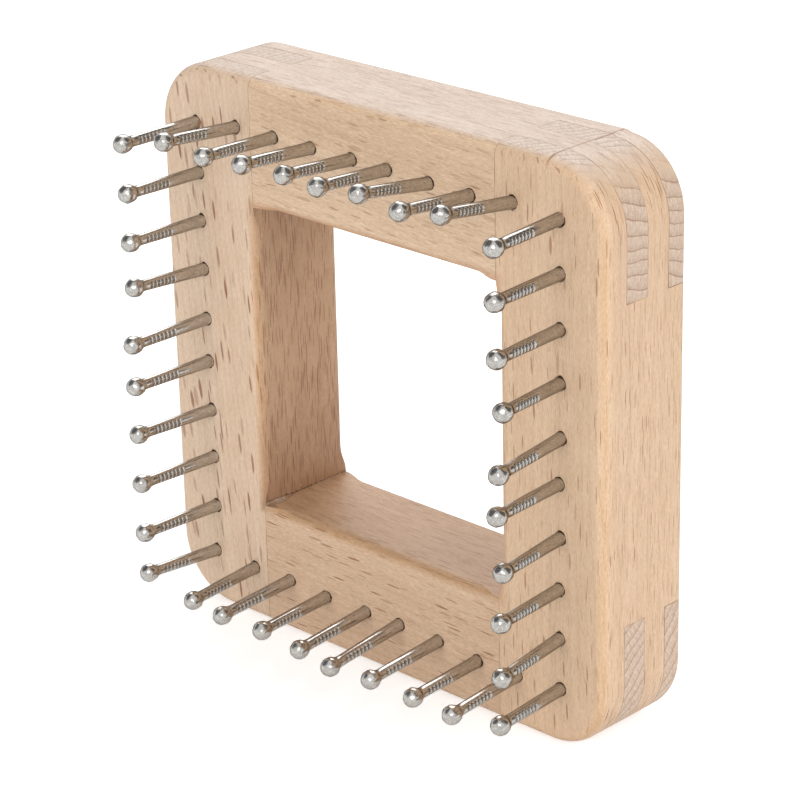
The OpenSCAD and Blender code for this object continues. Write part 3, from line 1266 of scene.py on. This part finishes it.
@dataclass
class Studio:
    """Camera, floor and soft light."""

    azimuth: float = 44.49  # degrees to the right of straight on
    elevation: float = 22.204  # degrees above level
    roll: float = -1.334  # degrees
    distance: float = 581.56  # mm to the pin pattern's middle
    slide: tuple[float, float] = (4.8788, -0.1056)  # mm right and up of that middle
    middle: tuple[float, float, float] = (0.0, -11.4, MIDDLE)  # mm
    lens: float = 138.912  # mm on a 36 mm sensor
    floor_size: float = 8.0  # m
    sky: float = 0.2  # how bright the surroundings light the board

    def build(self) -> None:
        """Makes the camera, the floor, the lamps and the world."""
        self._camera()
        self._floor()
        self._lamps()
        self._world()

    def _axes(self) -> tuple[Vector, Vector, Vector]:
        """Works out the camera's axes.

        Returns:
            The camera's right, up and backward directions.
        """
        roll = math.radians(self.roll)
        back = heading(self.azimuth, self.elevation)
        level = Vector((0.0, 0.0, 1.0)).cross(back).normalized()
        upward = back.cross(level)
        right = level * math.cos(roll) + upward * math.sin(roll)
        up = upward * math.cos(roll) - level * math.sin(roll)
        return right, up, back

    def _camera(self) -> None:
        """Makes the camera at the photograph's place."""
        right, up, back = self._axes()
        data = bpy.data.cameras.new("camera")
        data.sensor_width = 36.0
        data.lens = self.lens
        data.clip_start, data.clip_end = 0.01, 50.0
        camera = bpy.data.objects.new("camera", data)
        place = Vector(self.middle) + right * self.slide[0] + up * self.slide[1] + back * self.distance
        turn = Matrix((right, up, back)).transposed().to_4x4()
        camera.matrix_world = Matrix.Translation(place * MM) @ turn
        bpy.context.scene.collection.objects.link(camera)
        bpy.context.scene.camera = camera

    def _floor(self) -> None:
        """Makes the pale floor."""
        shape = bmesh.new()
        bmesh.ops.create_grid(shape, x_segments=1, y_segments=1, size=self.floor_size / 2)
        floor = finished("floor", shape, PaleFloor().build())

    def _lamps(self) -> None:
        """Makes the broad lamps, and the cards that only the bright metal shows."""
        for lamp in LAMPS:
            data = bpy.data.lights.new(lamp.name, "SUN")
            # a sun of pi watts a square metre lights a white surface to full white
            data.energy = lamp.level * math.pi
            data.angle = math.radians(lamp.width)
            light = bpy.data.objects.new(lamp.name, data)
            away = heading(lamp.azimuth, lamp.elevation)
            light.matrix_world = away.to_track_quat("Z", "Y").to_matrix().to_4x4()
            light.visible_glossy = lamp.in_gloss
            bpy.context.scene.collection.objects.link(light)
        for card in CARDS:
            card.build()

    def _world(self) -> None:
        """Makes the even white surroundings, full white to the camera and in reflections."""
        world = bpy.data.worlds.new("surroundings")
        world.use_nodes = True
        add = partial(add_node, world.node_tree)
        level = add("MapRange", {"Value": seen_rays(add), "To Min": self.sky, "To Max": 1.0})
        set_inputs(world.node_tree.nodes["Background"], {"Color": (1.0,) * 4, "Strength": level})
        bpy.context.scene.world = world


MEMBERS = (
    Member(
        "left_stile",
        SandedBeech(
            "sanded_beech_left_stile",
            Fibres.UPRIGHT,
            tilt=20.0,
            slope=6.0,
            pith=(150.0, 20.0, 0.0),
            ring=1.5,
            ray=(2.5, 0.52, 9.0),
            fleck_depth=0.92,
            fleck_size=0.26,
            stroke_depth=0.2,
            fleck_tone="#8F573A",
            base="#DEC3A8",
            opening_shade="#C9A583",
            end_tone="#DDC8B6",
            end_ring="#AC907B",
            end_from=(0.86, 0.97),
            low_corner_tone="#BC9C83",
        ),
    ),
    Member(
        "right_stile",
        SandedBeech(
            "sanded_beech_right_stile",
            Fibres.UPRIGHT,
            tilt=27.0,
            slope=1.0,
            pith=(120.0, -30.0, 300.0),
            ring=1.7,
            fleck_depth=0.75,
            stroke_depth=0.35,
            end_tone="#DDC8B6",
            end_ring="#AC907B",
            end_from=(0.84, 0.96),
            kink=True,
        ),
    ),
    Member(
        "top_rail",
        SandedBeech(
            "sanded_beech_top_rail",
            Fibres.LEVEL,
            tilt=12.0,
            slope=-4.0,
            pith=(250.0, 10.0, 600.0),
            ring=2.5,
            fleck_depth=0.35,
            stroke_depth=0.6,
            side_depth=0.7,
            fibre_length=1.2,
            fibre_depth=0.22,
            streak_depth=0.07,
            # the top rail's rounded edges get a lighter tone along the whole top: a painted highlight over
            # the cutter's warmth
            edge_tint=0.7,
            edge_tint_top=1.0,
            burnish_and_highlight="#E6C4A0",
            base="#DCBE9F",
            kink=True,
        ),
    ),
    Member(
        "bottom_rail",
        SandedBeech(
            "sanded_beech_bottom_rail",
            Fibres.LEVEL,
            tilt=-30.0,
            slope=-2.0,
            pith=(90.0, 10.0, 900.0),
            ring=2.1,
            ray=(1.6, 0.36, 9.0),
            fleck_depth=0.95,
            fibre_length=1.1,
            fibre_depth=0.21,
            streak_depth=0.07,
            edge_tint=0.32,
            base="#D6B698",
            opening_shade="#C49F7C",
        ),
    ),
)


def main() -> None:
    """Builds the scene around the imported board."""
    logging.basicConfig(level=logging.INFO)
    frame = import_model()
    bpy.context.view_layer.update()
    scene = bpy.context.scene
    scene.view_settings.view_transform = "Standard"
    Studio().build()
    pins = PinRows()
    axes = pins.axes(frame)
    for member in MEMBERS:
        piece = member.build(frame, axes, pins.shape.set_depth)
        LOG.info("%s built", piece.name)
    for piece in (*pins.build(axes), *GlueSmear().build()):
        LOG.info("%s built", piece.name)
    bpy.context.view_layer.update()


if __name__ == "__main__":
    main()
